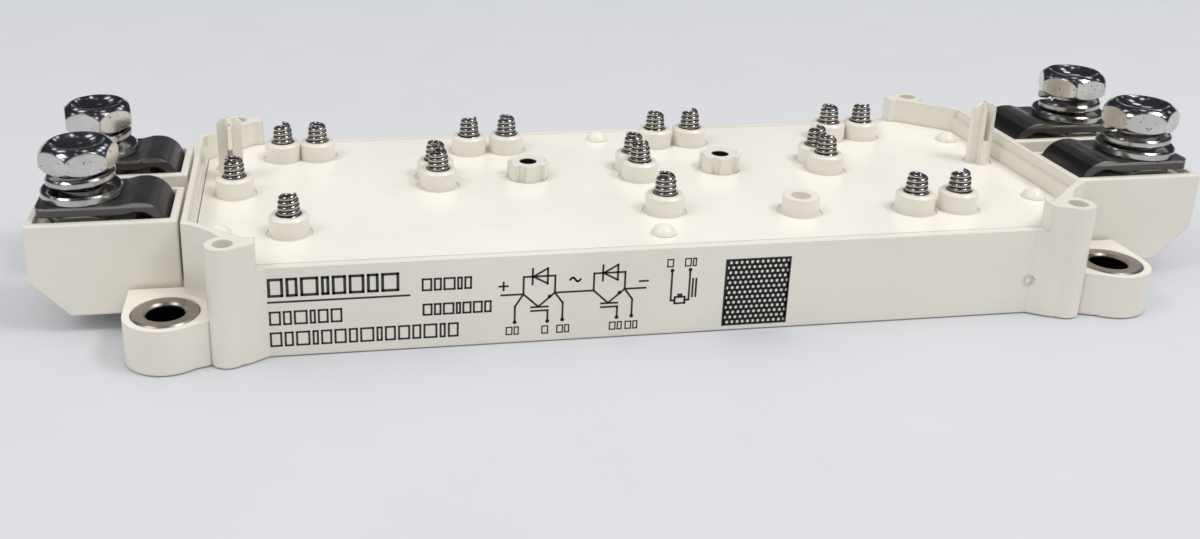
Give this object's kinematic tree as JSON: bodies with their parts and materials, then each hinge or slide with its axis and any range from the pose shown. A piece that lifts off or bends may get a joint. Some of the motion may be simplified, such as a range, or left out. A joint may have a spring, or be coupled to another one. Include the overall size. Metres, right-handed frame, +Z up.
{
  "type": "power semiconductor module",
  "caption": "Flat ivory power module with screw terminals at both ends, spring contacts through its lid, board posts at the corners and lugs for bolting to a heat sink.",
  "frame": {"origin": "centre of the underside of the base plate, in the middle of the module", "axes": "+X along the module from the left terminals to the right ones, +Y towards the row of paired contacts, +Z up out of the lid"},
  "size_m": [0.183, 0.062, 0.0276],
  "materials": {
    "housing_plastic": "moulded ivory plastic with a soft gloss",
    "lid_plastic": "moulded ivory plastic, slightly whiter",
    "holder_plastic": "moulded ivory plastic",
    "plated_bar": "bright plated bar",
    "screw_steel": "bright nickel plate",
    "nut_steel": "bright nickel plate",
    "washer_steel": "bright nickel plate",
    "sleeve_steel": "satin steel",
    "spring_wire": "bright plated wire",
    "base_metal": "nickel-plated copper",
    "ceramic_tile": "white ceramic with copper lands",
    "chip_silicon": "silicon with a metal top",
    "bond_wire": "bare aluminium",
    "sensor_body": "glazed",
    "clear_gel": "clear silicone"
  },
  "bodies": {
    "root": {"base_plate": "base_metal", "bond_wires": "bond_wire", "contact_spring_01": "spring_wire", "contact_spring_02": "spring_wire", "contact_spring_03": "spring_wire", "contact_spring_04": "spring_wire", "contact_spring_05": "spring_wire", "contact_spring_06": "spring_wire", "contact_spring_07": "spring_wire", "contact_spring_08": "spring_wire", "contact_spring_09": "spring_wire", "contact_spring_10": "spring_wire", "contact_spring_11": "spring_wire", "contact_spring_12": "spring_wire", "contact_spring_13": "spring_wire", "contact_spring_14": "spring_wire", "contact_spring_15": "spring_wire", "contact_spring_16": "spring_wire", "contact_spring_17": "spring_wire", "contact_spring_18": "spring_wire", "contact_spring_19": "spring_wire", "diode_chips": "chip_silicon", "flat_washer_left_back": "washer_steel", "flat_washer_left_front": "washer_steel", "flat_washer_right_back": "washer_steel", "flat_washer_right_front": "washer_steel", "heat_sensor": "sensor_body", "housing_frame": "housing_plastic", "lid": "lid_plastic", "lock_washer_left_back": "washer_steel", "lock_washer_left_front": "washer_steel", "lock_washer_right_back": "washer_steel", "lock_washer_right_front": "washer_steel", "mount_sleeve_left_back": "sleeve_steel", "mount_sleeve_left_front": "sleeve_steel", "mount_sleeve_right_back": "sleeve_steel", "mount_sleeve_right_front": "sleeve_steel", "soft_gel": "clear_gel", "spring_holder": "holder_plastic", "substrate_1": "ceramic_tile", "substrate_2": "ceramic_tile", "substrate_3": "ceramic_tile", "substrate_4": "ceramic_tile", "switch_chips": "chip_silicon", "terminal_bar_left_back": "plated_bar", "terminal_bar_left_front": "plated_bar", "terminal_bar_right_back": "plated_bar", "terminal_bar_right_front": "plated_bar", "terminal_nut_left_back": "nut_steel", "terminal_nut_left_front": "nut_steel", "terminal_nut_right_back": "nut_steel", "terminal_nut_right_front": "nut_steel", "terminal_screw_left_back": "screw_steel", "terminal_screw_left_front": "screw_steel", "terminal_screw_right_back": "screw_steel", "terminal_screw_right_front": "screw_steel"}
  },
  "joints": []
}
